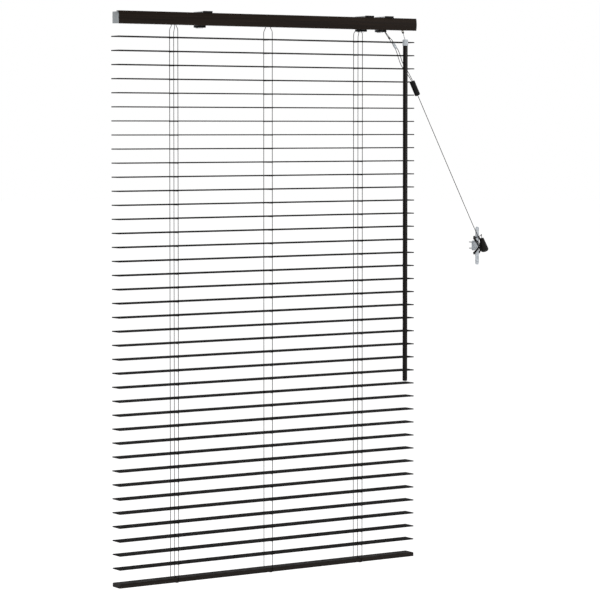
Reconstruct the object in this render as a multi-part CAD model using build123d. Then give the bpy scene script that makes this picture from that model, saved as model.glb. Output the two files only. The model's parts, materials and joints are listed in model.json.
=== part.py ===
from build123d import *

import math
import os

# Venetian blind with 39 flat slats, its headrail and controls, and the wall cleat for its cord.
# Millimetres. X runs along the headrail to the viewer's right, Y runs back to the wall (the wall is
# the plane Y = 0), +Z is up. The origin is on the wall, level with the middle of the headrail.

# ---- driving dimensions ----
BLIND_WIDTH = 800.0
SLAT_COUNT = 39
SLAT_WIDTH = 34.4
SLAT_THICKNESS = 2.5
SLAT_EDGE_R = 0.9
SLAT_PITCH = 31.08
FIRST_SLAT_Z = -41.8
SLAT_CENTRE_Y = -22.0

LADDER_X = (-250.0, 0.0, 250.0)
LIFT_X = (-250.0, 250.0)
LADDER_HALF = 18.2
LADDER_CORD_R = 0.6
LIFT_CORD_R = 0.7
ROUTE_SLOT_LENGTH = 17.6
ROUTE_SLOT_WIDTH = 5.0
LIFT_BEND_Y = 3.6
LIFT_BEND_Z = (-30.4, -20.6)
LIFT_BEND_R = (11.0, 11.0, 4.2, 20.0, 8.0)
LADDER_BEND_Z = (-23.0, -15.0)
LADDER_BEND_R = (12.0, 6.0)

RAIL_DEPTH = 27.0
RAIL_WALL = 0.8
RAIL_BOTTOM_Z = -13.2
RAIL_TOP_Z = 12.8
RAIL_HALF_LENGTH = 397.0
RAIL_LIP = 2.4
LADDER_OPENING_HALF_X = 4.0
LADDER_OPENING_HALF_Y = 11.2
WORM_OPENING_R = 3.5
CAP_FLANGE = 1.5
CAP_PLUG = 9.0
CAP_WALL = 1.2

VALANCE_HALF_LENGTH = 402.0
VALANCE_HALF_HEIGHT = 14.3
VALANCE_FRONT_Y = -46.15
VALANCE_BULGE = 2.0
VALANCE_WALL = 1.8

ROD_Z = 2.0
ROD_R = 3.0
BEARING_R = 3.05
DRUM_R = 9.0
DRUM_FLANGE_R = 10.4
DRUM_WIDTH = 12.0
CRADLE_HALF_LENGTH = 8.0
CRADLE_WALL = 1.2
CRADLE_HEIGHT = 7.0
DRUM_FLANGE = 2.0
INSERT_GAP = 0.2

TILTER_X = 366.5
HOUSING_HALF_LENGTH = 10.0
HOUSING_HEIGHT = 9.0
HOUSING_WALL = 1.5
SNOUT_R = 2.9
WORM_LEAN = 25.0
WORM_EXIT = (TILTER_X, -39.3, -18.0)
WORM_R = 2.6
WORM_SHAFT_R = 1.8
WORM_PITCH = 2.0
WORM_TURNS = 6
WORM_GROOVE = 0.8
HOOK_WIRE_R = 0.8
STOP_RING_R = 2.4
GEAR_R = 4.3
GEAR_TEETH = 12
GEAR_WIDTH = 7.0
GEAR_GROOVE_R = 0.55
BALL_R = 2.2
PIVOT_Z = -39.5

WAND_R = 6.2
WAND_TOP_Z = -50.2
WAND_BOTTOM_Z = -842.0
COLLAR_R = 6.5
COLLAR_TOP_Z = -35.7

LOCK_X = 318.0
LOCK_LENGTH = 30.0
LOCK_ROLLER_R = 2.2
LOCK_ROLLER_Z = -6.9
LOCK_FRONT = 12.2
LOCK_BACK = 10.0
LOCK_WALL = 2.0

BRACKET_X = (-174.0, 268.0, 324.0)
BRACKET_WIDTH = 22.0
BRACKET_METAL = 1.5
BRACKET_TOP_Z = 17.5
CLIP_BACK_Y = -41.5
CLIP_FRONT_Y = -46.55
CLIP_TOP_Z = 18.3
CLIP_EDGE_R = 0.8
REAR_CLIP_Y = (-17.0, -7.0)
FINGER_TIP_Y = -14.0
FINGER_TOP_Z = -18.0
WALL_SCREW_SPACING = 14.0
WALL_SCREW_R = 2.2

BOTTOM_RAIL_Z = -1259.5
BOTTOM_RAIL_DEPTH = 34.3
BOTTOM_RAIL_HEIGHT = 9.5
BOTTOM_RAIL_EDGE_R = 2.2

PULL_CORD_R = 0.8
STRAND_R = 0.75
JOINER_R = 6.5
JOINER_TOP = (387.6, -47.2, -134.3)
JOINER_BOTTOM = (404.4, -46.7, -166.0)

CLEAT_X = 607.0
CLEAT_Z = -529.0
CLEAT_SCREW_SPACING = 15.0
CLEAT_SCREW_R = 1.6
CLEAT_SCREW_NECK_R = 2.1
CLEAT_SCREW_HOLE_R = 2.4
CLEAT_SCREW_HEAD_R = 3.3
CLEAT_SCREW_HEAD_HEIGHT = 1.6
CLEAT_SCREW_DEPTH = 16.5
CLEAT_SCREW_TIP = 3.0
CLEAT_HALF_WIDTH = 4.5
CLEAT_BASE_HALF_WIDTH = 6.5
CLEAT_BASE_HALF_HEIGHT = 12.0
CLEAT_BASE_THICKNESS = 2.2
CLEAT_NECK_HALF_HEIGHT = 10.5
CLEAT_HORN_HALF_LENGTH = 46.0
CLEAT_HORN_BACK_Y = -12.4
CLEAT_HORN_FRONT_Y = -15.4

TASSEL_TOP = (619.0, -16.0, -511.3)
TASSEL_LENGTH = 34.0
TASSEL_TOP_R = 4.8
TASSEL_BOTTOM_R = 11.2
TASSEL_FOOT_R = 6.0
TASSEL_LEAN = 17.0

# Hand-chosen route points of the cords, from the end inside the blind outwards.
STRAND_ROUTES = (
    (
        (318.5, -28.6, -13.2),
        (320.6, -31.4, -20.0),
        (325.4, -37.6, -31.0),
        (331.5, -40.4, -41.5),
        (340.0, -41.0, -51.5),
        (347.0, -41.0, -63.5),
        (352.5, -40.9, -79.0),
        (360.0, -40.8, -96.0),
        (371.0, -41.6, -110.0),
        (381.0, -44.4, -122.5),
        (386.6, -46.4, -132.6),
    ),
    (
        (318.5, -31.2, -13.2),
        (321.2, -34.0, -20.0),
        (326.8, -39.2, -30.5),
        (335.5, -41.6, -39.0),
        (341.8, -42.6, -50.0),
        (349.5, -43.0, -59.0),
        (356.5, -43.2, -73.0),
        (362.5, -41.2, -88.0),
        (373.5, -41.4, -103.0),
        (383.0, -44.8, -119.0),
        (388.6, -47.6, -131.5),
    ),
)
PULL_RUN = (
    (404.4, -46.7, -166.0),
    (599.2, -21.0, -500.5),
)
TASSEL_RUN = (
    (608.0, -28.0, -504.0),
    (616.5, -18.5, -499.5),
    TASSEL_TOP,
)

# The turns of the pull cord on the cleat, measured from the cleat's middle.
CLEAT_TURNS = 3
TURN_SPREAD = 1.75
TURN_LAYER = 1.7
TURN_SHIFT = 2.2
TURN_SIDE_X = 8.0
TURN_SIDE_Y = -15.5
TURN_SIDE_STEP_Y = 0.6
TURN_SIDE_Z = 13.6
TURN_BACK_X = 6.8
TURN_BACK_Y = -4.6
TURN_BACK_Z = 17.6
TURN_FRONT_Y = -20.0


def horn_turn(turn, height):
    """The cord's half turn behind one horn, from its right to its left."""
    side_y = TURN_SIDE_Y - TURN_SIDE_STEP_Y * turn
    side_z = TURN_SIDE_Z + TURN_SPREAD * turn
    back_z = TURN_BACK_Z + TURN_SPREAD * turn
    half_turn = (
        (TURN_SIDE_X, side_y, side_z),
        (TURN_BACK_X, TURN_BACK_Y, back_z),
        (-TURN_BACK_X, TURN_BACK_Y, back_z),
        (-TURN_SIDE_X, side_y, side_z),
    )
    return [(CLEAT_X + x, y, CLEAT_Z + height * z) for x, y, z in half_turn]


def pull_route():
    """The pull cord's route: straight to the cleat, in figures of eight on it, then to the tassel."""
    points = list(PULL_RUN)
    for turn in range(CLEAT_TURNS):
        front_y = TURN_FRONT_Y - 2 * TURN_LAYER * turn
        crossing_z = CLEAT_Z + TURN_SHIFT * (turn - 1)
        points += horn_turn(turn, 1)
        points.append((CLEAT_X, front_y, crossing_z))
        points += horn_turn(turn, -1)
        points.append((CLEAT_X, front_y - TURN_LAYER, crossing_z))
    points += horn_turn(CLEAT_TURNS, 1)
    return points + list(TASSEL_RUN)


# ---- helpers ----
def bar(x, y, z):
    """A box from three (low, high) pairs."""
    size = Box(x[1] - x[0], y[1] - y[0], z[1] - z[0])
    return Pos((x[0] + x[1]) / 2, (y[0] + y[1]) / 2, (z[0] + z[1]) / 2) * size


def x_cylinder(radius, length, x, y, z):
    """A cylinder along X, centred on (x, y, z)."""
    return Pos(x, y, z) * Rot(0, 90, 0) * Cylinder(radius, length)


def y_cylinder(radius, length, x, y, z):
    """A cylinder along Y, centred on (x, y, z)."""
    return Pos(x, y, z) * Rot(90, 0, 0) * Cylinder(radius, length)


def between(start, end, radius):
    """A cylinder from one point to another."""
    direction = Vector(*end) - Vector(*start)
    plane = Plane(origin=start, z_dir=direction)
    return extrude(plane * Circle(radius), direction.length)


def bend_radii(points):
    """One radius for each bend: 0.45 of the shorter run over the tangent of half the turn."""
    radii = []
    for before, here, after in zip(points, points[1:], points[2:]):
        run_in = Vector(*here) - Vector(*before)
        run_out = Vector(*after) - Vector(*here)
        turn = math.radians(run_in.get_angle(run_out))
        radii.append(0.45 * min(run_in.length, run_out.length) / math.tan(turn / 2))
    return radii


def tube(name, points, radius, radii=None):
    """A round cord along straight runs joined by tangent arcs."""
    radii = radii or bend_radii(points)
    path = FilletPolyline(*points, radius=radii)
    start = Plane(origin=path @ 0, z_dir=path % 0)
    solid = sweep(start * Circle(radius), path=path)
    share = solid.volume / (math.pi * radius**2 * path.length)
    print(f"{name}: length {path.length:.1f}, volume share {share:.4f}, radii",
          [round(r, 1) for r in radii])
    return solid


def save(name, *solids):
    """Writes one sub-part."""
    shape = solids[0] if len(solids) == 1 else Compound(children=list(solids))
    export_step(shape, f"parts/{name}.step")


# ---- headrail ----
RAIL_FRONT_Y = SLAT_CENTRE_Y - RAIL_DEPTH / 2
RAIL_BACK_Y = SLAT_CENTRE_Y + RAIL_DEPTH / 2
RAIL_FLOOR_Z = RAIL_BOTTOM_Z + RAIL_WALL
WORM_DIRECTION = Vector(0, -math.sin(math.radians(WORM_LEAN)), -math.cos(math.radians(WORM_LEAN)))


def along_worm(distance):
    """A point on the worm's axis, measured down from where it leaves the headrail."""
    return tuple(Vector(*WORM_EXIT) + WORM_DIRECTION * distance)


def headrail():
    """The folded steel channel, open at the top, with its lips and floor openings."""
    length = (-RAIL_HALF_LENGTH, RAIL_HALF_LENGTH)
    outer = bar(length, (RAIL_FRONT_Y, RAIL_BACK_Y), (RAIL_BOTTOM_Z, RAIL_TOP_Z))
    inner = bar(
        length,
        (RAIL_FRONT_Y + RAIL_WALL, RAIL_BACK_Y - RAIL_WALL),
        (RAIL_FLOOR_Z, RAIL_TOP_Z - RAIL_WALL),
    )
    mouth = bar(
        length,
        (RAIL_FRONT_Y + RAIL_LIP, RAIL_BACK_Y - RAIL_LIP),
        (RAIL_FLOOR_Z, RAIL_TOP_Z),
    )
    rail = outer - inner - mouth
    floor = (RAIL_BOTTOM_Z - 1, RAIL_FLOOR_Z + 0.5)
    for x in LADDER_X:
        rail -= bar(
            (x - LADDER_OPENING_HALF_X, x + LADDER_OPENING_HALF_X),
            (SLAT_CENTRE_Y - LADDER_OPENING_HALF_Y, SLAT_CENTRE_Y + LADDER_OPENING_HALF_Y),
            floor,
        )
    rail -= bar((LOCK_X - 6, LOCK_X + 8), (SLAT_CENTRE_Y - 12, SLAT_CENTRE_Y - 5), floor)
    rail -= between(along_worm(-20), along_worm(4), WORM_OPENING_R)
    return rail


def headrail_end_cap(side):
    """The grey plug that closes one end of the channel."""
    flange_x = sorted((side * RAIL_HALF_LENGTH, side * (RAIL_HALF_LENGTH + CAP_FLANGE)))
    plug_x = sorted((side * (RAIL_HALF_LENGTH - CAP_PLUG), side * RAIL_HALF_LENGTH))
    cap = bar(flange_x, (RAIL_FRONT_Y, RAIL_BACK_Y), (RAIL_BOTTOM_Z, RAIL_TOP_Z))
    cap = fillet(cap.edges().filter_by(Axis.X), CAP_WALL)
    reach = RAIL_WALL + 0.05
    plug = bar(
        plug_x,
        (RAIL_FRONT_Y + reach, RAIL_BACK_Y - reach),
        (RAIL_FLOOR_Z + 0.05, RAIL_TOP_Z - reach),
    )
    hollow_x = (plug_x[0] - 1, plug_x[1]) if side > 0 else (plug_x[0], plug_x[1] + 1)
    hollow = bar(
        hollow_x,
        (RAIL_FRONT_Y + reach + CAP_WALL, RAIL_BACK_Y - reach - CAP_WALL),
        (RAIL_FLOOR_Z + 0.05 + CAP_WALL, RAIL_TOP_Z),
    )
    return cap + (plug - hollow)


def valance():
    """The moulded front cover, bulged forward, hooked over the front lip of the channel."""
    edge_y = VALANCE_FRONT_Y + VALANCE_BULGE
    h = VALANCE_HALF_HEIGHT
    with BuildSketch(Plane.YZ) as profile:
        with BuildLine():
            front = ThreePointArc((edge_y, -h), (VALANCE_FRONT_Y, 0), (edge_y, h))
            top = Line(front @ 1, (RAIL_FRONT_Y + RAIL_LIP, h))
            hook = Line(top @ 1, (RAIL_FRONT_Y + RAIL_LIP, RAIL_TOP_Z))
            under = Line(hook @ 1, (edge_y + VALANCE_WALL, RAIL_TOP_Z))
            back = ThreePointArc(
                under @ 1, (VALANCE_FRONT_Y + VALANCE_WALL, 0), (edge_y + VALANCE_WALL, -h)
            )
            Line(back @ 1, front @ 0)
        make_face()
    return extrude(profile.sketch, VALANCE_HALF_LENGTH, both=True)


# ---- brackets ----
def mounting_bracket(x):
    """The steel angle: a back plate on the wall, a top arm over the channel and a lower finger."""
    half = BRACKET_WIDTH / 2
    back = bar((x - half, x + half), (-BRACKET_METAL, 0), (FINGER_TOP_Z, BRACKET_TOP_Z))
    arm = bar(
        (x - half, x + half), (CLIP_BACK_Y, 0), (BRACKET_TOP_Z - BRACKET_METAL, BRACKET_TOP_Z)
    )
    web = bar(
        (x - BRACKET_METAL / 2, x + BRACKET_METAL / 2),
        (RAIL_BACK_Y + 0.3, 0),
        (RAIL_BOTTOM_Z + 0.2, BRACKET_TOP_Z),
    )
    finger = bar(
        (x - half / 2, x + half / 2), (FINGER_TIP_Y, 0), (FINGER_TOP_Z - BRACKET_METAL, FINGER_TOP_Z)
    )
    body = back + arm + finger + web
    for side in (-1, 1):
        body -= y_cylinder(WALL_SCREW_R, 10, x + side * WALL_SCREW_SPACING / 2, 0, 0)
    return body


def bracket_clip(x):
    """Two black blocks: one grips the front top edge of the cover, one sits under the channel's back."""
    half = BRACKET_WIDTH / 2
    front = bar(
        (x - half, x + half),
        (CLIP_FRONT_Y, CLIP_BACK_Y),
        (VALANCE_HALF_HEIGHT, BRACKET_TOP_Z - BRACKET_METAL),
    )
    front += bar(
        (x - half, x + half), (CLIP_FRONT_Y, CLIP_BACK_Y), (BRACKET_TOP_Z - BRACKET_METAL, CLIP_TOP_Z)
    )
    front = fillet(front.edges().filter_by(Axis.X).group_by(Axis.Y)[0], CLIP_EDGE_R)
    rear = bar((x - half, x + half), REAR_CLIP_Y, (FINGER_TOP_Z, RAIL_BOTTOM_Z))
    rear = fillet(rear.edges().filter_by(Axis.X).group_by(Axis.Y)[0], CLIP_EDGE_R)
    return front, rear


# ---- tilting gear train ----
def tilt_rod():
    """The long shaft that turns the three drums."""
    low = LADDER_X[0] - 16
    high = TILTER_X + 14
    return x_cylinder(ROD_R, high - low, (low + high) / 2, SLAT_CENTRE_Y, ROD_Z)


def tilter_gear():
    """The small gear on the shaft that the worm turns."""
    gear = x_cylinder(GEAR_R, GEAR_WIDTH, TILTER_X, SLAT_CENTRE_Y, ROD_Z)
    gear -= x_cylinder(ROD_R, GEAR_WIDTH + 2, TILTER_X, SLAT_CENTRE_Y, ROD_Z)
    for tooth in range(GEAR_TEETH):
        place = Pos(TILTER_X, SLAT_CENTRE_Y, ROD_Z) * Rot(360 * tooth / GEAR_TEETH, 0, 0)
        gear -= place * Pos(0, 0, GEAR_R) * Rot(0, 90, 0) * Cylinder(GEAR_GROOVE_R, GEAR_WIDTH + 2)
    return gear


def ladder_drum(x):
    """One grooved drum that carries a ladder's loop."""
    drum = x_cylinder(DRUM_FLANGE_R, DRUM_WIDTH, x, SLAT_CENTRE_Y, ROD_Z)
    groove = x_cylinder(DRUM_FLANGE_R + 1, DRUM_WIDTH - 2 * DRUM_FLANGE, x, SLAT_CENTRE_Y, ROD_Z)
    groove -= x_cylinder(DRUM_R, DRUM_WIDTH, x, SLAT_CENTRE_Y, ROD_Z)
    return drum - groove - x_cylinder(ROD_R, DRUM_WIDTH + 2, x, SLAT_CENTRE_Y, ROD_Z)


def drum_cradle(x):
    """The open box in the channel that bears the shaft on both sides of a drum."""
    outer_half = RAIL_DEPTH / 2 - RAIL_WALL - INSERT_GAP
    outer = bar(
        (x - CRADLE_HALF_LENGTH, x + CRADLE_HALF_LENGTH),
        (SLAT_CENTRE_Y - outer_half, SLAT_CENTRE_Y + outer_half),
        (RAIL_FLOOR_Z, ROD_Z + CRADLE_HEIGHT),
    )
    inner = bar(
        (x - CRADLE_HALF_LENGTH + CRADLE_WALL, x + CRADLE_HALF_LENGTH - CRADLE_WALL),
        (SLAT_CENTRE_Y - outer_half + CRADLE_WALL, SLAT_CENTRE_Y + outer_half - CRADLE_WALL),
        (RAIL_FLOOR_Z - 1, RAIL_TOP_Z),
    )
    notch = bar(
        (x - CRADLE_HALF_LENGTH - 1, x + CRADLE_HALF_LENGTH + 1),
        (SLAT_CENTRE_Y - 7, SLAT_CENTRE_Y + 6),
        (RAIL_FLOOR_Z - 1, RAIL_FLOOR_Z + 4),
    )
    bearing = x_cylinder(BEARING_R, 30, x, SLAT_CENTRE_Y, ROD_Z)
    return outer - inner - notch - bearing


def tilter_housing():
    """The case of the tilting gears, with a snout for the worm's shaft."""
    outer_half = RAIL_DEPTH / 2 - RAIL_WALL - INSERT_GAP
    wall = HOUSING_WALL
    case = bar(
        (TILTER_X - HOUSING_HALF_LENGTH, TILTER_X + HOUSING_HALF_LENGTH),
        (SLAT_CENTRE_Y - outer_half, SLAT_CENTRE_Y + outer_half),
        (RAIL_FLOOR_Z, ROD_Z + HOUSING_HEIGHT),
    )
    case -= bar(
        (TILTER_X - HOUSING_HALF_LENGTH + wall, TILTER_X + HOUSING_HALF_LENGTH - wall),
        (SLAT_CENTRE_Y - outer_half + wall, SLAT_CENTRE_Y + outer_half - wall),
        (RAIL_FLOOR_Z + wall, ROD_Z + HOUSING_HEIGHT - wall),
    )
    case += between(along_worm(-14), along_worm(0), SNOUT_R)
    case -= between(along_worm(-40), along_worm(-13), WORM_R + 0.35)
    case -= between(along_worm(-15), along_worm(2), WORM_SHAFT_R + 0.05)
    case -= x_cylinder(BEARING_R, 30, TILTER_X, SLAT_CENTRE_Y, ROD_Z)
    return case


def tilter_worm():
    """The worm, its shaft and the wire that ends in a ball for the wand."""
    to_ball = (WORM_EXIT[2] - PIVOT_Z) / math.cos(math.radians(WORM_LEAN))
    worm = between(along_worm(-28), along_worm(1.5), WORM_SHAFT_R)
    worm += between(along_worm(-26), along_worm(-14), WORM_R)
    for turn in range(WORM_TURNS):
        start = -25 + WORM_PITCH * turn
        ring = between(along_worm(start), along_worm(start + WORM_GROOVE), WORM_R + 1)
        ring -= between(along_worm(start - 1), along_worm(start + 2), WORM_R - 0.5)
        worm -= ring
    worm += between(along_worm(0.4), along_worm(3), STOP_RING_R)
    worm += between(along_worm(2), along_worm(to_ball), HOOK_WIRE_R)
    worm += Pos(*along_worm(to_ball)) * Sphere(BALL_R)
    return worm


# ---- wand ----
WAND_Y = along_worm((WORM_EXIT[2] - PIVOT_Z) / math.cos(math.radians(WORM_LEAN)))[1]


def wand_bar():
    """The six-sided bar, with a rounded foot."""
    section = Pos(TILTER_X, WAND_Y, WAND_BOTTOM_Z) * RegularPolygon(WAND_R, 6)
    bar_solid = extrude(section, WAND_TOP_Z - WAND_BOTTOM_Z)
    return chamfer(bar_solid.faces().sort_by(Axis.Z)[0].edges(), 1.2)


def wand_collar():
    """The clear collar with a socket for the ball."""
    height = COLLAR_TOP_Z - WAND_TOP_Z
    collar = Pos(TILTER_X, WAND_Y, WAND_TOP_Z + height / 2) * Cylinder(COLLAR_R, height)
    collar = chamfer(collar.faces().sort_by(Axis.Z)[-1].edges(), 1.4)
    ball = Pos(TILTER_X, WAND_Y, PIVOT_Z)
    collar -= ball * Sphere(BALL_R + 0.3)
    mouth_height = COLLAR_TOP_Z - PIVOT_Z + 0.5
    mouth = Cone(0.9, 0.9 + 0.7 * mouth_height, mouth_height)
    return collar - Pos(TILTER_X, WAND_Y, PIVOT_Z + mouth_height / 2) * mouth


# ---- cord lock ----
def cord_lock():
    """The lock body in the channel: an open-bottomed case with slots for its roller."""
    low = LOCK_X - LOCK_LENGTH / 2
    high = LOCK_X + LOCK_LENGTH / 2
    top = ROD_Z - ROD_R - 0.5
    front = SLAT_CENTRE_Y - LOCK_FRONT
    back = SLAT_CENTRE_Y + LOCK_BACK
    case = bar((low, high), (front, back), (RAIL_FLOOR_Z, top))
    case -= bar(
        (low + LOCK_WALL, high - LOCK_WALL),
        (front + 1.6, back - LOCK_WALL),
        (RAIL_FLOOR_Z - 1, top - 1.4),
    )
    case -= bar(
        (low - 1, low + 3), (front + 1.6, SLAT_CENTRE_Y + 6), (RAIL_FLOOR_Z - 1, RAIL_FLOOR_Z + 4)
    )
    slot_z = (LOCK_ROLLER_Z - LOCK_ROLLER_R - 0.2, LOCK_ROLLER_Z + LOCK_ROLLER_R + 0.2)
    case -= bar((LOCK_X - 9, LOCK_X + 3), (back - 3, back - 1), slot_z)
    return case


def cord_lock_roller():
    """The roller that pinches the cords."""
    front = SLAT_CENTRE_Y - LOCK_FRONT + 1.9
    back = SLAT_CENTRE_Y + LOCK_BACK - 1.3
    roller = y_cylinder(LOCK_ROLLER_R, back - front, LOCK_X, (front + back) / 2, LOCK_ROLLER_Z)
    for groove in range(5):
        y = front + 3 + groove * 3
        ring = y_cylinder(LOCK_ROLLER_R + 1, 0.8, LOCK_X, y, LOCK_ROLLER_Z)
        ring -= y_cylinder(LOCK_ROLLER_R - 0.4, 2, LOCK_X, y, LOCK_ROLLER_Z)
        roller -= ring
    return roller


# ---- slats, ladders and lift cords ----
def slat():
    """One flat wooden strip with eased edges, centred on its own turning axis."""
    strip = Box(BLIND_WIDTH, SLAT_WIDTH, SLAT_THICKNESS)
    strip = fillet(strip.edges().filter_by(Axis.X), SLAT_EDGE_R)
    for x in LIFT_X:
        slot = SlotOverall(ROUTE_SLOT_LENGTH, ROUTE_SLOT_WIDTH, rotation=90)
        strip -= Pos(x, 0, -3) * extrude(slot, 6)
    return strip


def slat_z(index):
    """The height of a slat's turning axis."""
    return FIRST_SLAT_Z - SLAT_PITCH * index


def ladder_cord(x):
    """One ladder's loop: up one side, over the drum and down the other."""
    y = SLAT_CENTRE_Y
    end_z = BOTTOM_RAIL_Z + 3.9
    wrap_r = DRUM_R + 0.3 + LADDER_CORD_R
    points = [
        (x, y - LADDER_HALF, end_z),
        (x, y - LADDER_HALF, LADDER_BEND_Z[0]),
        (x, y - wrap_r, LADDER_BEND_Z[1]),
        (x, y - wrap_r, ROD_Z),
    ]
    front = FilletPolyline(*points, radius=LADDER_BEND_R)
    over = ThreePointArc(points[-1], (x, y, ROD_Z + wrap_r), (x, y + wrap_r, ROD_Z))
    back_points = [(x, 2 * y - p[1], p[2]) for p in reversed(points)]
    back = FilletPolyline(*back_points, radius=LADDER_BEND_R[::-1])
    start = Plane(origin=points[0], z_dir=(0, 0, 1))
    return sweep(start * Circle(LADDER_CORD_R), path=Wire(front.edges() + over.edges() + back.edges()))


CORD_FLOOR_Z = RAIL_FLOOR_Z + 2.2


def lift_cord(name, x, run_y, strand_start):
    """One lift cord: up through the slats, along the channel and into the lock."""
    y = SLAT_CENTRE_Y
    points = [
        (x, y, BOTTOM_RAIL_Z),
        (x, y, LIFT_BEND_Z[0]),
        (x, y - LIFT_BEND_Y, LIFT_BEND_Z[1]),
        (x, y - LIFT_BEND_Y, CORD_FLOOR_Z),
        (LOCK_X - 36, run_y, CORD_FLOOR_Z),
        (strand_start[0] - 6, strand_start[1], CORD_FLOOR_Z),
        strand_start,
    ]
    return tube(name, points, LIFT_CORD_R, LIFT_BEND_R)


# ---- bottom rail ----
def bottom_rail():
    """The rounded wooden bar under the last slat, with slots for the lift cords."""
    place = Plane(origin=(0, SLAT_CENTRE_Y, BOTTOM_RAIL_Z), x_dir=(0, 1, 0), z_dir=(1, 0, 0))
    section = place * RectangleRounded(BOTTOM_RAIL_DEPTH, BOTTOM_RAIL_HEIGHT, BOTTOM_RAIL_EDGE_R)
    rail = extrude(section, BLIND_WIDTH / 2, both=True)
    for x in LIFT_X:
        slot = SlotOverall(ROUTE_SLOT_LENGTH, ROUTE_SLOT_WIDTH, rotation=90)
        under_rail = Pos(x, SLAT_CENTRE_Y, BOTTOM_RAIL_Z - BOTTOM_RAIL_HEIGHT)
        rail -= under_rail * extrude(slot, 2 * BOTTOM_RAIL_HEIGHT)
    return rail


# ---- pull cord and its fittings ----
def cord_joiner():
    """The barrel that joins the two strands to the single pull cord."""
    barrel = between(JOINER_TOP, JOINER_BOTTOM, JOINER_R)
    ends = [edge for edge in barrel.edges() if edge.geom_type == GeomType.CIRCLE]
    barrel = fillet(ends, 1.0)
    middle = (Vector(*JOINER_TOP) + Vector(*JOINER_BOTTOM)) / 2
    axis = (Vector(*JOINER_BOTTOM) - Vector(*JOINER_TOP)).normalized()
    seam = between(tuple(middle - axis * 0.4), tuple(middle + axis * 0.4), JOINER_R + 1)
    seam -= between(tuple(middle - axis * 2), tuple(middle + axis * 2), JOINER_R - 0.5)
    return barrel - seam


def cord_cleat():
    """The wall cleat: a base plate, a neck and two long horns in one upright bar."""
    x, z = CLEAT_X, CLEAT_Z
    w, base_w = CLEAT_HALF_WIDTH, CLEAT_BASE_HALF_WIDTH
    base_h, neck_h, horn = CLEAT_BASE_HALF_HEIGHT, CLEAT_NECK_HALF_HEIGHT, CLEAT_HORN_HALF_LENGTH
    base = bar((x - base_w, x + base_w), (-CLEAT_BASE_THICKNESS, 0), (z - base_h, z + base_h))
    base = fillet(base.edges().filter_by(Axis.Y), 3)
    neck = bar((x - w, x + w), (CLEAT_HORN_BACK_Y, -CLEAT_BASE_THICKNESS), (z - neck_h, z + neck_h))
    neck = fillet(neck.edges().filter_by(Axis.Y), 2)
    horns = bar((x - w, x + w), (CLEAT_HORN_FRONT_Y, CLEAT_HORN_BACK_Y), (z - horn, z + horn))
    horns = fillet(horns.edges().filter_by(Axis.Y), w - 0.5)
    horns = fillet(horns.faces().sort_by(Axis.Y)[0].outer_wire().edges(), 0.8)
    cleat = base + neck + horns
    for side in (-1, 1):
        hole_z = z + side * CLEAT_SCREW_SPACING / 2
        seat_y = CLEAT_HORN_FRONT_Y + CLEAT_SCREW_HEAD_HEIGHT / 2
        cleat -= y_cylinder(CLEAT_SCREW_HOLE_R, 40, x, 0, hole_z)
        cleat -= y_cylinder(CLEAT_SCREW_HEAD_R + 0.3, CLEAT_SCREW_HEAD_HEIGHT, x, seat_y, hole_z)
    return cleat


def cleat_screw(side):
    """A pan-headed screw through the cleat's neck into the wall."""
    z = CLEAT_Z + side * CLEAT_SCREW_SPACING / 2
    head_back_y = CLEAT_HORN_FRONT_Y + CLEAT_SCREW_HEAD_HEIGHT
    neck_end_y = 0.3
    turned_parts = (
        (CLEAT_SCREW_HEAD_R, CLEAT_HORN_FRONT_Y, head_back_y),
        (CLEAT_SCREW_NECK_R, head_back_y, neck_end_y),
        (CLEAT_SCREW_R, neck_end_y, CLEAT_SCREW_DEPTH),
    )
    point = Rot(-90, 0, 0) * Cone(CLEAT_SCREW_R, 0.2, CLEAT_SCREW_TIP)
    screw = Pos(CLEAT_X, CLEAT_SCREW_DEPTH + CLEAT_SCREW_TIP / 2, z) * point
    for radius, low, high in turned_parts:
        screw += y_cylinder(radius, high - low, CLEAT_X, (low + high) / 2, z)
    return screw


def cord_tassel():
    """The drop-shaped weight on the end of the pull cord."""
    outline = Polyline(
        (0, 0), (TASSEL_TOP_R, 0), (TASSEL_BOTTOM_R, -TASSEL_LENGTH), (0, -TASSEL_LENGTH), (0, 0)
    )
    solid = revolve(Plane.XZ * make_face(outline), Axis.Z)
    rims = solid.edges().filter_by(GeomType.CIRCLE).sort_by(Axis.Z)
    solid = fillet(rims[0], TASSEL_FOOT_R)
    top_rim = solid.edges().filter_by(GeomType.CIRCLE).sort_by(Axis.Z)[-1]
    solid = fillet(top_rim, 1)
    return Pos(*TASSEL_TOP) * Rot(0, -TASSEL_LEAN, 0) * solid


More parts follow.
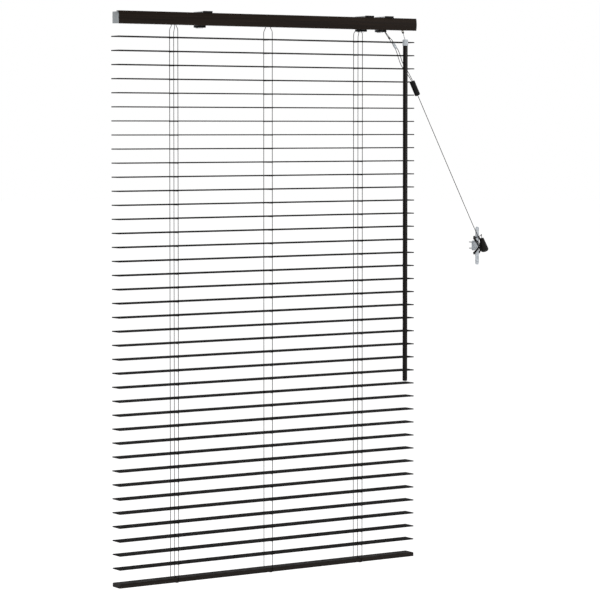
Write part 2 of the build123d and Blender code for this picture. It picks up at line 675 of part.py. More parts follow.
# ---- writing ----
def main():
    os.makedirs("parts", exist_ok=True)
    save("headrail", headrail())
    save("headrail_end_caps", headrail_end_cap(-1), headrail_end_cap(1))
    save("valance", valance())
    save("mounting_brackets", *[mounting_bracket(x) for x in BRACKET_X])
    save("bracket_clips", *[block for x in BRACKET_X for block in bracket_clip(x)])
    save("tilt_rod", tilt_rod(), tilter_gear())
    save("ladder_drums", *[ladder_drum(x) for x in LADDER_X])
    save("drum_cradles", *[drum_cradle(x) for x in LADDER_X])
    save("tilter_housing", tilter_housing())
    save("tilter_worm", tilter_worm())
    save("wand", wand_bar(), wand_collar())
    save("cord_lock", cord_lock())
    save("cord_lock_roller", cord_lock_roller())
    save("ladder_cords", *[ladder_cord(x) for x in LADDER_X])
    lift_runs = (("left lift cord", LIFT_X[0], SLAT_CENTRE_Y + 2.4, STRAND_ROUTES[0][0]),
                 ("right lift cord", LIFT_X[1], SLAT_CENTRE_Y - 6.4, STRAND_ROUTES[1][0]))
    save("lift_cords", *[lift_cord(*run) for run in lift_runs])
    save("pull_strands", *[tube("strand", route, STRAND_R) for route in STRAND_ROUTES])
    save("pull_cord", tube("pull cord", pull_route(), PULL_CORD_R))
    save("bottom_rail", bottom_rail())
    save("cord_joiner", cord_joiner())
    save("cord_cleat", cord_cleat(), cleat_screw(-1), cleat_screw(1))
    save("cord_tassel", cord_tassel())
    strip = slat()
    for index in range(SLAT_COUNT):
        save(f"slat_{index + 1:02d}", Pos(0, SLAT_CENTRE_Y, slat_z(index)) * strip)


main()
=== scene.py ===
import json
import math

import bpy
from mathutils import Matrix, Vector


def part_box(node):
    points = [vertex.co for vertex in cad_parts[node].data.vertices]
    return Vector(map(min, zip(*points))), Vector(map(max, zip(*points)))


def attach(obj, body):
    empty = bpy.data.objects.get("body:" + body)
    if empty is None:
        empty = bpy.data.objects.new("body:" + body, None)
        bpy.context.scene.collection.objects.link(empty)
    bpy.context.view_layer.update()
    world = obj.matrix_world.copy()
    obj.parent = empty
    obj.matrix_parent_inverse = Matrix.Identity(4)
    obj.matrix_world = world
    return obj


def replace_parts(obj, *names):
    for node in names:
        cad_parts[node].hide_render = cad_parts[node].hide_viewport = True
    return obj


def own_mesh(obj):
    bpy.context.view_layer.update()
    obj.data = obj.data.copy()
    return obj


# The looks of a venetian blind, in metres, around its CAD frame. X runs along the headrail, Y back to
# the wall and Z up.

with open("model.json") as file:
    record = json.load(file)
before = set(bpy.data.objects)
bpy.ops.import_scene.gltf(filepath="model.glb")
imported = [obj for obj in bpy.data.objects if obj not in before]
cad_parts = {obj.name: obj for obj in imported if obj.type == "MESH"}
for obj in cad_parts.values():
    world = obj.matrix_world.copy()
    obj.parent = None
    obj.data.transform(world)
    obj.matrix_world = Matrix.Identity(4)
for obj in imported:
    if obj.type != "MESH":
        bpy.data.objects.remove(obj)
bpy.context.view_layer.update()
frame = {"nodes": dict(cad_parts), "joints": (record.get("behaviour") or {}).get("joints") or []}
NODES = frame["nodes"]
MM = 0.001

# ---- places taken from the frame ----
JOINTS = {joint["name"]: joint for joint in frame["joints"]}
SLATS = sorted(name for name in NODES if name.startswith("slat_"))
AXIS_Y = JOINTS["tilt"]["pos_m"][1]
ROD_Z = JOINTS["tilt"]["pos_m"][2]
SLAT_Z = {name: JOINTS[f"{name}_tilt"]["pos_m"][2] for name in SLATS}
RAIL_Z = JOINTS["bottom_rail_tilt"]["pos_m"][2]
CLEAT_LOW, CLEAT_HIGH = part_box("cord_cleat")
CLEAT_X = (CLEAT_LOW.x + CLEAT_HIGH.x) / 2
CLEAT_Z = (CLEAT_LOW.z + CLEAT_HIGH.z) / 2
COLLAR_BOTTOM_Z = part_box("wand")[1].z - 14.6 * MM

# ---- driving dimensions ----
LADDER_X = (-0.250, 0.0, 0.250)
LADDER_HALF = 18.2 * MM
LADDER_R = 0.75 * MM
DRUM_LOOP_R = 9.9 * MM
RUNG_R = 0.28 * MM
RUNG_DROP = 1.65 * MM
RUNG_SPREAD = 3.1 * MM
STRAND_R = 0.75 * MM
PULL_CORD_R = 0.8 * MM

# ---- the camera, at the photograph's viewing angle ----
CAMERA_PLACE = (-3.1924, -5.0207, -0.2434)
CAMERA_YAW = math.radians(33.272)
CAMERA_PITCH = math.radians(2.218)
CAMERA_LENS = 155.26
CAMERA_SHIFT_Y = -0.12


def camera():
    """The camera, nearly level, with its lens shifted down to the object."""
    data = bpy.data.cameras.new("camera")
    data.sensor_width = 36
    data.lens = CAMERA_LENS
    data.shift_y = CAMERA_SHIFT_Y
    data.clip_end = 60
    obj = bpy.data.objects.new("camera", data)
    obj.location = CAMERA_PLACE
    obj.rotation_euler = (math.pi / 2 - CAMERA_PITCH, 0, -CAMERA_YAW)
    bpy.context.scene.collection.objects.link(obj)
    bpy.context.scene.camera = obj


# ---- materials ----
class Finish:
    """One procedural material, built up from a Principled shader."""

    def __init__(self, name, color, roughness, **sockets):
        self.material = bpy.data.materials.new(name)
        self.material.use_nodes = True
        self.nodes = self.material.node_tree.nodes
        self.links = self.material.node_tree.links
        self.shader = self.nodes["Principled BSDF"]
        self.color = color
        self.roughness = roughness
        self.shader.inputs["Base Color"].default_value = (*color, 1)
        self.shader.inputs["Roughness"].default_value = roughness
        for socket, value in sockets.items():
            self.shader.inputs[socket.replace("_", " ")].default_value = value
        self.place = self.nodes.new("ShaderNodeTexCoord").outputs["Object"]

    def stretched(self, scale):
        """Object coordinates scaled by (x, y, z)."""
        mapping = self.nodes.new("ShaderNodeMapping")
        mapping.inputs["Scale"].default_value = scale
        self.links.new(self.place, mapping.inputs["Vector"])
        return mapping.outputs["Vector"]

    def noise(self, scale, detail=3.0, vector=None, distortion=0.0):
        """A noise texture's value, with features about 1/scale metres across."""
        node = self.nodes.new("ShaderNodeTexNoise")
        node.inputs["Scale"].default_value = scale
        node.inputs["Detail"].default_value = detail
        node.inputs["Distortion"].default_value = distortion
        self.links.new(vector or self.place, node.inputs["Vector"])
        return node.outputs["Fac"]

    def ramp(self, value, stops):
        """A colour ramp from (position, colour) stops."""
        node = self.nodes.new("ShaderNodeValToRGB")
        elements = node.color_ramp.elements
        while len(elements) < len(stops):
            elements.new(0.5)
        for element, (position, color) in zip(elements, stops):
            element.position = position
            element.color = (*color, 1)
        self.links.new(value, node.inputs["Fac"])
        return node.outputs["Color"]

    def mix(self, factor, first, second):
        """first where factor is 0, second where it is 1; second may be a fixed colour."""
        node = self.nodes.new("ShaderNodeMix")
        node.data_type = "RGBA"
        self.links.new(factor, node.inputs["Factor"])
        self.links.new(first, node.inputs["A"])
        if isinstance(second, tuple):
            node.inputs["B"].default_value = (*second, 1)
        else:
            self.links.new(second, node.inputs["B"])
        return node.outputs["Result"]

    def scaled(self, value, low, high):
        """A 0 to 1 value mapped to low to high."""
        node = self.nodes.new("ShaderNodeMapRange")
        node.inputs["From Min"].default_value = 0.3
        node.inputs["From Max"].default_value = 0.7
        node.inputs["To Min"].default_value = low
        node.inputs["To Max"].default_value = high
        self.links.new(value, node.inputs["Value"])
        return node.outputs["Result"]

    def math(self, operation, first, second):
        node = self.nodes.new("ShaderNodeMath")
        node.operation = operation
        for socket, value in zip(node.inputs, (first, second)):
            if isinstance(value, float):
                socket.default_value = value
            else:
                self.links.new(value, socket)
        return node.outputs["Value"]

    def tint(self, color_output):
        self.links.new(color_output, self.shader.inputs["Base Color"])

    def gloss(self, value):
        self.links.new(value, self.shader.inputs["Roughness"])

    def relief(self, height, strength, distance):
        """Bump from a height value; distance is in metres."""
        node = self.nodes.new("ShaderNodeBump")
        node.inputs["Strength"].default_value = strength
        node.inputs["Distance"].default_value = distance
        self.links.new(height, node.inputs["Height"])
        self.links.new(node.outputs["Normal"], self.shader.inputs["Normal"])

    def upward(self, low=0.6, high=0.98):
        """1 where the surface faces up."""
        geometry = self.nodes.new("ShaderNodeNewGeometry")
        split = self.nodes.new("ShaderNodeSeparateXYZ")
        self.links.new(geometry.outputs["Normal"], split.inputs["Vector"])
        node = self.nodes.new("ShaderNodeMapRange")
        node.inputs["From Min"].default_value = low
        node.inputs["From Max"].default_value = high
        self.links.new(split.outputs["Z"], node.inputs["Value"])
        return node.outputs["Result"]


def shade(color, factor):
    return tuple(min(1.0, channel * factor) for channel in color)


def lacquered_wood(name, color, roughness=0.55, specular=0.1):
    """Thin dark lacquer on wood: long faint grain along X, open pores, uneven sheen and a little dust."""
    f = Finish(name, color, roughness, Specular_IOR_Level=specular)
    grain = f.noise(1, 5, vector=f.stretched((7, 420, 420)), distortion=0.5)
    tone = f.ramp(grain, [(0.3, shade(color, 0.7)), (0.72, shade(color, 1.5))])
    specks = f.noise(900, 2)
    dusty = f.math("MULTIPLY", f.upward(), f.scaled(specks, 0.0, 0.05))
    f.tint(f.mix(dusty, tone, (0.10, 0.095, 0.09)))
    f.gloss(f.scaled(f.noise(60, 3), roughness - 0.07, roughness + 0.1))
    pores = f.noise(1, 3, vector=f.stretched((110, 2200, 2200)))
    f.relief(f.math("ADD", pores, grain), 0.15, 0.0002)
    return f.material


def moulded(name, color, roughness=0.45, grain=1800, specular=0.08):
    """Moulded plastic: fine spark-eroded grain, soft flow marks and faint scuffs."""
    f = Finish(name, color, roughness, Specular_IOR_Level=specular)
    flow = f.noise(22, 3, distortion=0.8)
    tone = f.ramp(flow, [(0.35, shade(color, 0.85)), (0.7, shade(color, 1.2))])
    scuffs = f.noise(1, 4, vector=f.stretched((700, 120, 260)))
    scuffed = f.ramp(scuffs, [(0.62, (0, 0, 0)), (0.72, (0.16, 0.16, 0.16))])
    f.tint(f.mix(scuffed, tone, shade(color, 2.2)))
    f.gloss(f.scaled(f.noise(90, 4), roughness - 0.08, roughness + 0.1))
    f.relief(f.noise(grain, 2), 0.18, 0.00015)
    return f.material


def woodgrain(name, color, roughness=0.42):
    """Dark brown foil with long, faint grain along X and pores."""
    f = Finish(name, color, roughness, Specular_IOR_Level=0.06)
    grain = f.noise(1, 6, vector=f.stretched((5, 260, 260)), distortion=0.6)
    bands = f.noise(1, 2, vector=f.stretched((1.3, 60, 60)))
    dark = f.ramp(grain, [(0.32, shade(color, 0.55)), (0.5, color), (0.72, shade(color, 1.75))])
    warm = f.ramp(bands, [(0.35, shade(color, 0.8)), (0.7, (0.015, 0.0095, 0.0062))])
    f.tint(f.mix(f.scaled(bands, 0.15, 0.55), dark, warm))
    pores = f.noise(1, 3, vector=f.stretched((90, 1500, 1500)))
    f.gloss(f.scaled(grain, roughness - 0.06, roughness + 0.12))
    f.relief(f.math("ADD", pores, grain), 0.2, 0.0002)
    return f.material


def brushed(name, color, roughness=0.34, along=(4, 900, 900), tarnish=(0.36, 0.37, 0.38)):
    """Plated or drawn metal: fine lines along one axis, cloudy plating and a few dull patches."""
    f = Finish(name, color, roughness, Metallic=0.9)
    lines = f.noise(1, 3, vector=f.stretched(along))
    clouds = f.noise(45, 4, distortion=0.4)
    tone = f.ramp(lines, [(0.3, shade(color, 0.82)), (0.7, shade(color, 1.12))])
    dull = f.ramp(clouds, [(0.48, (0, 0, 0)), (0.75, (0.5, 0.5, 0.5))])
    f.tint(f.mix(dull, tone, tarnish))
    f.gloss(f.scaled(clouds, roughness - 0.08, roughness + 0.16))
    f.relief(lines, 0.15, 0.0001)
    return f.material


def silver_paint(name, color):
    """Silver lacquer on rolled steel: tiny flakes, faint roll lines, soft sheen."""
    f = Finish(name, color, 0.42, Metallic=0.35)
    flakes = f.nodes.new("ShaderNodeTexVoronoi")
    flakes.inputs["Scale"].default_value = 2600
    f.links.new(f.place, flakes.inputs["Vector"])
    sparkle = f.ramp(flakes.outputs["Distance"], [(0.2, shade(color, 0.86)), (0.8, shade(color, 1.1))])
    roll = f.noise(1, 3, vector=f.stretched((3, 420, 420)))
    f.tint(f.mix(f.scaled(roll, 0.0, 0.35), sparkle, shade(color, 0.8)))
    f.gloss(f.scaled(f.noise(50, 3), 0.34, 0.5))
    f.relief(roll, 0.1, 0.0001)
    return f.material


def clear_plastic(name, color, roughness=0.22):
    """Clear plastic with a milky body, flow lines and fine scratches."""
    f = Finish(name, color, roughness, Transmission_Weight=0.3, IOR=1.49)
    flow = f.noise(160, 4, distortion=1.2)
    f.tint(f.ramp(flow, [(0.3, shade(color, 0.8)), (0.7, shade(color, 1.1))]))
    f.gloss(f.scaled(flow, roughness - 0.08, roughness + 0.16))
    f.relief(f.noise(1, 4, vector=f.stretched((1500, 1500, 200))), 0.2, 0.0001)
    return f.material


def braid(name, color, pitch=900):
    """Braided polyester: two sets of slanting strands that cross, with painted shade darkening the colour
    in the gaps between them and a painted highlight lightening their crowns.
    """
    f = Finish(name, color, 0.75, Specular_IOR_Level=0.08)
    waves = []
    for slant in (1, -1):
        wave = f.nodes.new("ShaderNodeTexWave")
        wave.inputs["Scale"].default_value = 1.0
        wave.inputs["Distortion"].default_value = 0.8
        wave.bands_direction = "DIAGONAL"
        scale = (slant * pitch, slant * pitch, pitch * 0.8)
        f.links.new(f.stretched(scale), wave.inputs["Vector"])
        waves.append(wave.outputs["Fac"])
    weave_and_painted_shade = f.math("MULTIPLY", *waves)
    # Painted shade and highlight: the weave darkens the colour in the gaps between strands and lightens
    # it on their crowns.
    f.tint(f.ramp(weave_and_painted_shade, [(0.1, shade(color, 0.5)), (0.7, shade(color, 1.7))]))
    f.gloss(f.scaled(f.noise(700, 3), 0.65, 0.85))
    f.relief(weave_and_painted_shade, 0.6, 0.0003)
    return f.material


BLACK = (0.0032, 0.0031, 0.0033)
SLAT_BLACK = (0.0060, 0.0055, 0.0053)
BROWN_BLACK = (0.0070, 0.0043, 0.0028)

FINISHES = {
    "slat": lacquered_wood("slat_lacquer", SLAT_BLACK, 0.6, 0.05),
    "rail": lacquered_wood("bottom_rail_lacquer", (0.0066, 0.0045, 0.0033), 0.5, 0.1),
    "valance": woodgrain("valance_foil", BROWN_BLACK),
    "silver": silver_paint("headrail_lacquer", (0.42, 0.44, 0.46)),
    "grey": moulded("end_cap_plastic", (0.235, 0.25, 0.258), 0.5, specular=0.35),
    "plated": brushed("zinc_plate", (0.55, 0.56, 0.57), along=(900, 8, 900)),
    "steel": brushed("drawn_steel", (0.5, 0.5, 0.5), along=(6, 900, 900)),
    "screw": brushed("screw_steel", (0.42, 0.42, 0.43), along=(900, 6, 900)),
    "black": moulded("black_plastic", BLACK, 0.42),
    "tassel": moulded("tassel_plastic", (0.0088, 0.0082, 0.0074), 0.42),
    "gloss": moulded("wand_plastic", (0.0040, 0.0030, 0.0026), 0.26, grain=500, specular=0.12),
    "nylon": moulded("natural_nylon", (0.62, 0.60, 0.55), 0.5, specular=0.4),
    "clear": clear_plastic("clear_plastic", (0.42, 0.45, 0.48)),
    "cord": braid("cord_braid", (0.0045, 0.0042, 0.0042)),
    "ladder": braid("ladder_braid", (0.0048, 0.0044, 0.0044), 1200),
}


# ---- mesh helpers ----
def add_object(name, data, body, finish):
    """Links a new piece, rides it on its body and gives it its finish."""
    obj = bpy.data.objects.new(name, data)
    bpy.context.scene.collection.objects.link(obj)
    data.materials.append(FINISHES[finish])
    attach(obj, body)
    return obj


def mesh_of(name, vertices, faces, crease=35):
    """A smooth mesh whose edges sharper than crease degrees stay sharp."""
    data = bpy.data.meshes.new(name)
    data.from_pydata([tuple(v) for v in vertices], [], faces)
    data.update()
    data.shade_smooth()
    data.set_sharp_from_angle(angle=math.radians(crease))
    return data


def tube(line, radii, sides=10):
    """Vertices and faces of a closed tube along a line, with one radius for each point."""
    line = [Vector(p) for p in line]
    vertices, faces = [], []
    side = None
    for i, point in enumerate(line):
        ahead = (line[min(i + 1, len(line) - 1)] - line[max(i - 1, 0)]).normalized()
        if side is None:
            side = ahead.orthogonal().normalized()
        side = (side - ahead * side.dot(ahead)).normalized()
        across = ahead.cross(side)
        for k in range(sides):
            turn = 2 * math.pi * k / sides
            vertices.append(point + radii[i] * (math.cos(turn) * side + math.sin(turn) * across))
    for i in range(len(line) - 1):
        for k in range(sides):
            here, after = i * sides + k, i * sides + (k + 1) % sides
            faces.append((here, after, after + sides, here + sides))
    faces.append(tuple(reversed(range(sides))))
    faces.append(tuple(range((len(line) - 1) * sides, len(line) * sides)))
    return vertices, faces


def joined(parts):
    """Several (vertices, faces) pairs as one."""
    vertices, faces = [], []
    for part_vertices, part_faces in parts:
        start = len(vertices)
        vertices += part_vertices
        faces += [tuple(start + i for i in face) for face in part_faces]
    return vertices, faces


def turned(outline, start, axis, sides=32):
    """A turned solid: outline is (distance along the axis, radius) pairs, closed at both ends."""
    axis = Vector(axis).normalized()
    line = [Vector(start) + axis * distance for distance, _ in outline]
    return tube(line, [radius for _, radius in outline], sides)


# ---- cords ----
# The same route points as the CAD's, in metres.
STRAND_ROUTES = (
    (
        (0.3185, -0.0286, -0.0132),
        (0.3206, -0.0314, -0.0200),
        (0.3254, -0.0376, -0.0310),
        (0.3315, -0.0404, -0.0415),
        (0.3400, -0.0410, -0.0515),
        (0.3470, -0.0410, -0.0635),
        (0.3525, -0.0409, -0.0790),
        (0.3600, -0.0408, -0.0960),
        (0.3710, -0.0416, -0.1100),
        (0.3810, -0.0444, -0.1225),
        (0.3866, -0.0464, -0.1326),
    ),
    (
        (0.3185, -0.0312, -0.0132),
        (0.3212, -0.0340, -0.0200),
        (0.3268, -0.0392, -0.0305),
        (0.3355, -0.0416, -0.0390),
        (0.3418, -0.0426, -0.0500),
        (0.3495, -0.0430, -0.0590),
        (0.3565, -0.0432, -0.0730),
        (0.3625, -0.0412, -0.0880),
        (0.3735, -0.0414, -0.1030),
        (0.3830, -0.0448, -0.1190),
        (0.3886, -0.0476, -0.1315),
    ),
)
PULL_RUN = (
    (0.4044, -0.0467, -0.1660),
    (0.5992, -0.0210, -0.5005),
)
TASSEL_RUN = (
    (0.6080, -0.0280, -0.5040),
    (0.6165, -0.0185, -0.4995),
    (0.6190, -0.0160, -0.5113),
)
# The turns of the pull cord on the cleat, measured from the cleat's middle.
CLEAT_TURNS = 3
TURN_SPREAD = 1.75 * MM
TURN_LAYER = 1.7 * MM
TURN_SHIFT = 2.2 * MM
TURN_SIDE_X = 8.0 * MM
TURN_SIDE_Y = -15.5 * MM
TURN_SIDE_STEP_Y = 0.6 * MM
TURN_SIDE_Z = 13.6 * MM
TURN_BACK_X = 6.8 * MM
TURN_BACK_Y = -4.6 * MM
TURN_BACK_Z = 17.6 * MM
TURN_FRONT_Y = -20.0 * MM


def cord_curve(name, route, radius, body, finish):
    """A cord on one smooth NURBS line with the route's points as its control points."""
    data = bpy.data.curves.new(name, "CURVE")
    data.dimensions = "3D"
    data.bevel_depth = radius
    data.bevel_resolution = 4
    data.use_fill_caps = True
    data.resolution_u = 12
    spline = data.splines.new("NURBS")
    spline.points.add(len(route) - 1)
    for point, place in zip(spline.points, route):
        point.co = (*place, 1)
    spline.order_u = 3
    spline.use_endpoint_u = True
    return add_object(name, data, body, finish)


def horn_turn(turn, height):
    """The pull cord's half turn behind one horn of the cleat, from its right to its left."""
    side_y = TURN_SIDE_Y - TURN_SIDE_STEP_Y * turn
    side_z = TURN_SIDE_Z + TURN_SPREAD * turn
    back_z = TURN_BACK_Z + TURN_SPREAD * turn
    half_turn = (
        (TURN_SIDE_X, side_y, side_z),
        (TURN_BACK_X, TURN_BACK_Y, back_z),
        (-TURN_BACK_X, TURN_BACK_Y, back_z),
        (-TURN_SIDE_X, side_y, side_z),
    )
    return [(CLEAT_X + x, y, CLEAT_Z + height * z) for x, y, z in half_turn]


def pull_route():
    """Straight to the cleat, in figures of eight on it, then to the tassel."""
    points = list(PULL_RUN)
    for turn in range(CLEAT_TURNS):
        front_y = TURN_FRONT_Y - 2 * TURN_LAYER * turn
        crossing_z = CLEAT_Z + TURN_SHIFT * (turn - 1)
        points += horn_turn(turn, 1)
        points.append((CLEAT_X, front_y, crossing_z))
        points += horn_turn(turn, -1)
        points.append((CLEAT_X, front_y - TURN_LAYER, crossing_z))
    points += horn_turn(CLEAT_TURNS, 1)
    return points + list(TASSEL_RUN)


def free_cords():
    """The two strands and the pull cord, each with its real length."""
    for side, route in zip(("left", "right"), STRAND_ROUTES):
        strand = cord_curve(f"pull_strand_{side}", route, STRAND_R, "frame", "cord")
        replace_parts(strand, "pull_strands")
    pull = cord_curve("pull_cord_braid", pull_route(), PULL_CORD_R, "frame", "cord")
    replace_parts(pull, "pull_cord")


# ---- ladders ----
def side_string(x, side):
    """One vertical ladder string, knotted where each rung leaves it."""
    shoulder = (
        (9.9, -12.5),
        (10.2, -14.5),
        (11.8, -16.9),
        (15.2, -20.1),
        (17.3, -22.9),
        (18.0, -25.5),
        (18.2, -28.5),
    )
    line = [(half * MM, z * MM) for half, z in shoulder]
    radii = [LADDER_R] * len(line)
    for name in SLATS:
        knot = SLAT_Z[name] - RUNG_DROP
        for offset, radius in ((1.6, 1.0), (0.8, 1.25), (0.0, 1.5), (-0.8, 1.25), (-1.6, 1.0)):
            line.append((LADDER_HALF, knot + offset * MM))
            radii.append(LADDER_R * radius)
    line.append((LADDER_HALF, RAIL_Z + 3.9 * MM))
    radii.append(LADDER_R)
    return tube([(x, AXIS_Y + side * half, z) for half, z in line], radii)


def drum_loop(x):
    """The stretch of a ladder's loop that goes over its drum."""
    line = [(x, AXIS_Y - DRUM_LOOP_R, -12.7 * MM)]
    steps = 16
    for step in range(steps + 1):
        turn = math.pi * step / steps
        line.append((x, AXIS_Y - DRUM_LOOP_R * math.cos(turn), ROD_Z + DRUM_LOOP_R * math.sin(turn)))
    line.append((x, AXIS_Y + DRUM_LOOP_R, -12.7 * MM))
    return tube(line, [LADDER_R] * len(line))


def rungs(name):
    """The two thin rungs of each ladder that carry one slat."""
    z = SLAT_Z[name] - RUNG_DROP
    parts = []
    for x in LADDER_X:
        for spread in (-RUNG_SPREAD, RUNG_SPREAD):
            line = []
            for share in (-1, -0.8, -0.5, 0, 0.5, 0.8, 1):
                fan = 1 - share**4
                line.append((x + spread * fan, AXIS_Y + share * LADDER_HALF, z))
            parts.append(tube(line, [RUNG_R] * len(line), 6))
    return joined(parts)


def ladders():
    """Each ladder's strings, its loop over the drum, and the rungs. The strings are built in one pose; on
    the real blind they close up with the tilt.
    """
    for number, x in enumerate(LADDER_X, 1):
        strings = mesh_of(f"ladder_{number}_strings", *joined([side_string(x, -1), side_string(x, 1)]))
        obj = add_object(strings.name, strings, "frame", "ladder")
        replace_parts(obj, "ladder_cords")
        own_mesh(obj)
        loop = mesh_of(f"ladder_{number}_loop", *drum_loop(x))
        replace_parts(add_object(loop.name, loop, "frame", "ladder"), "ladder_cords")
    for name in SLATS:
        data = mesh_of(f"rungs_{name[-2:]}", *rungs(name))
        add_object(data.name, data, name, "ladder")


def string_tail(x, side):
    """A ladder string round the bottom rail's edge to its button underneath."""
    half, drop, corner = 17.75 * MM, 1.55 * MM, 3.8 * MM
    line = [(LADDER_HALF, 3.9 * MM), (half + 0.1 * MM, 1.5 * MM), (half, -drop)]
    for step in range(1, 6):
        turn = math.pi / 2 * step / 5
        line.append((half - corner * (1 - math.cos(turn)), -drop - corner * math.sin(turn)))
    line.append((half - corner - 2.5 * MM, -drop - corner))
    return tube([(x, AXIS_Y + side * y, RAIL_Z + z) for y, z in line], [LADDER_R] * len(line))


def rail_button(x, side):
    """The small domed button that grips a string's end under the bottom rail."""
    outline = [(0, 4.2), (0.5, 4.2), (1.1, 3.9), (1.6, 3.0), (1.9, 1.6), (2.0, 0.2)]
    outline = [(distance * MM, radius * MM) for distance, radius in outline]
    start = (x, AXIS_Y + side * 9.5 * MM, RAIL_Z - 4.75 * MM)
    return turned(outline, start, (0, 0, -1))


def bottom_rail_fittings():
    """The ends of the ladder strings and their buttons under the bottom rail."""
    tails, buttons = [], []
    for x in LADDER_X:
        for side in (-1, 1):
            tails.append(string_tail(x, side))
            buttons.append(rail_button(x, side))
    data = mesh_of("ladder_string_tails", *joined(tails))
    add_object(data.name, data, "bottom_rail", "ladder")
    data = mesh_of("bottom_rail_buttons", *joined(buttons))
    add_object(data.name, data, "bottom_rail", "black")


# ---- small trim of the strands ----
def strand_bead():
    """The small clear bead that both strands pass through."""
    outline = [(0, 1.9), (0.6, 2.6), (3, 3.2), (8, 3.5), (13, 3.2), (15.4, 2.6), (16, 1.9)]
    outline = [(distance * MM, radius * MM) for distance, radius in outline]
    middle = (Vector(STRAND_ROUTES[0][4]) + Vector(STRAND_ROUTES[1][4])) / 2
    direction = Vector(STRAND_ROUTES[0][5]) - Vector(STRAND_ROUTES[0][3])
    start = middle - direction.normalized() * 8 * MM
    data = mesh_of("strand_bead", *turned(outline, start, direction))
    add_object(data.name, data, "frame", "clear")


def strand_knot():
    """The overhand knot that ties the two strands together under the headrail."""
    centre = (Vector(STRAND_ROUTES[0][2]) + Vector(STRAND_ROUTES[1][2])) / 2 + Vector((1, -0.9, -2)) * MM
    axis = (Vector(STRAND_ROUTES[0][3]) - Vector(STRAND_ROUTES[0][2])).normalized()
    side = axis.orthogonal().normalized()
    across = axis.cross(side)
    line = []
    steps = 60
    for step in range(steps + 1):
        turn = 2 * math.pi * 2.5 * step / steps
        wide = 1.55 * MM + 0.25 * MM * math.cos(turn * 0.8)
        along = (step / steps - 0.5) * 4.2 * MM
        line.append(centre + axis * along + wide * (math.cos(turn) * side + math.sin(turn) * across))
    data = mesh_of("strand_knot", *tube(line, [STRAND_R] * len(line)))
    add_object(data.name, data, "frame", "cord")


# ---- finishes of the CAD nodes ----
NODE_FINISH = {
    "headrail": "silver",
    "headrail_end_caps": "grey",
    "valance": "valance",
    "mounting_brackets": "plated",
    "bracket_clips": "black",
    "tilt_rod": "steel",
    "ladder_drums": "nylon",
    "drum_cradles": "nylon",
    "tilter_housing": "nylon",
    "tilter_worm": "black",
    "wand": "gloss",
    "cord_lock": "nylon",
    "cord_lock_roller": "steel",
    "lift_cords": "cord",
    "bottom_rail": "rail",
    "cord_joiner": "black",
    "cord_cleat": "clear",
    "cord_tassel": "tassel",
}


def dress(name, finish):
    """Gives a CAD node its finish, with smooth shading between its sharp edges."""
    obj = NODES[name]
    obj.data.materials.clear()
    obj.data.materials.append(FINISHES[finish])
    obj.data.shade_smooth()
    obj.data.set_sharp_from_angle(angle=math.radians(28))


HOOK_WIRE_TOP_Z = -20.5 * MM
CLEAT_SCREW_OFFSET = 7.5 * MM
SCREW_NECK_REACH = 2.25 * MM
SCREW_HEAD_REACH = 3.4 * MM
SCREW_HEAD_BACK_Y = -13.5 * MM
WALL_SIDE_Y = 0.05 * MM


def second_finish(name, finish, chosen):
    """A second finish on the faces of a CAD node whose centre is chosen."""
    data = NODES[name].data
    data.materials.append(FINISHES[finish])
    for polygon in data.polygons:
        if chosen(polygon.center):
            polygon.material_index = 1


def on_hook_wire(centre):
    """True on the wire below the worm's shaft."""
    return centre.z < HOOK_WIRE_TOP_Z


def on_screw(centre):
    """True on the cleat's two screws: near one of their axes, or in the wall."""
    from_screw = math.hypot(centre.x - CLEAT_X, abs(centre.z - CLEAT_Z) - CLEAT_SCREW_OFFSET)
    on_head = from_screw < SCREW_HEAD_REACH and centre.y < SCREW_HEAD_BACK_Y
    return centre.y > WALL_SIDE_Y or from_screw < SCREW_NECK_REACH or on_head


def dress_cad():
    """Gives every CAD node that stays visible its finish or finishes."""
    for name, finish in NODE_FINISH.items():
        dress(name, finish)
    for name in SLATS:
        dress(name, "slat")
    second_finish("wand", "clear", lambda centre: centre.z > COLLAR_BOTTOM_Z)
    second_finish("tilter_worm", "screw", on_hook_wire)
    second_finish("cord_cleat", "screw", on_screw)


# ---- room ----
FLOOR_Z = -1.95
FLOOR_HALF = 60
FLOOR_GLOW = 0.68
ROOM_LIGHT = 0.38
KEY_POWER = 110
FILL_POWER = 50
SKY_POWER = 70


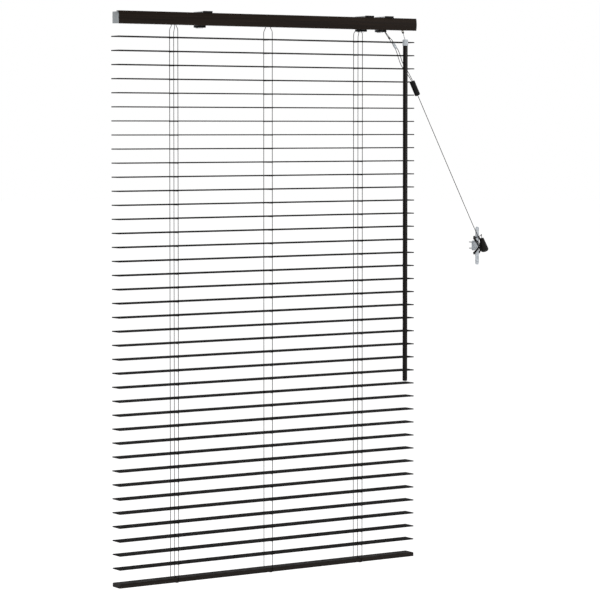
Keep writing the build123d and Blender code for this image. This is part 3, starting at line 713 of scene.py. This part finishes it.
def floor():
    """A plain white floor, well below the blind."""
    signs = ((-1, -1), (1, -1), (1, 1), (-1, 1))
    corners = [(FLOOR_HALF * x, FLOOR_HALF * y, FLOOR_Z) for x, y in signs]
    data = bpy.data.meshes.new("floor")
    data.from_pydata(corners, [], [(0, 1, 2, 3)])
    f = Finish("floor_paper", (0.92, 0.92, 0.92), 0.9)
    f.tint(f.ramp(f.noise(3, 3), [(0.3, (0.90, 0.90, 0.90)), (0.7, (0.93, 0.93, 0.93))]))
    f.shader.inputs["Emission Color"].default_value = (1, 1, 1, 1)
    f.shader.inputs["Emission Strength"].default_value = FLOOR_GLOW
    data.materials.append(f.material)
    obj = bpy.data.objects.new("floor", data)
    bpy.context.scene.collection.objects.link(obj)


def area_light(name, place, target, size, power):
    """A round lamp at place that points at target."""
    data = bpy.data.lights.new(name, "AREA")
    data.shape = "DISK"
    data.size = size
    data.energy = power
    obj = bpy.data.objects.new(name, data)
    obj.location = place
    obj.rotation_mode = "QUATERNION"
    obj.rotation_quaternion = (Vector(target) - Vector(place)).to_track_quat("-Z", "Y")
    bpy.context.scene.collection.objects.link(obj)


def studio():
    """Soft studio light: a white backdrop that lights the object gently, and three large lamps."""
    world = bpy.data.worlds.new("studio")
    world.use_nodes = True
    nodes, links = world.node_tree.nodes, world.node_tree.links
    shown = nodes["Background"]
    shown.inputs["Color"].default_value = (1, 1, 1, 1)
    shown.inputs["Strength"].default_value = 1.0
    lit = nodes.new("ShaderNodeBackground")
    lit.inputs["Color"].default_value = (1, 1, 1, 1)
    lit.inputs["Strength"].default_value = ROOM_LIGHT
    path = nodes.new("ShaderNodeLightPath")
    mix = nodes.new("ShaderNodeMixShader")
    links.new(path.outputs["Is Camera Ray"], mix.inputs["Fac"])
    links.new(lit.outputs["Background"], mix.inputs[1])
    links.new(shown.outputs["Background"], mix.inputs[2])
    links.new(mix.outputs["Shader"], nodes["World Output"].inputs["Surface"])
    bpy.context.scene.world = world
    area_light("key", (-2.6, -3.4, 1.6), (0, 0, -0.5), 2.2, KEY_POWER)
    area_light("fill", (3.2, -2.6, 0.4), (0, 0, -0.6), 2.4, FILL_POWER)
    area_light("sky", (0, -0.6, 3.2), (0, 0, 0), 3.0, SKY_POWER)
    bpy.context.scene.view_settings.view_transform = "Standard"


camera()
free_cords()
ladders()
bottom_rail_fittings()
strand_bead()
strand_knot()
dress_cad()
floor()
studio()
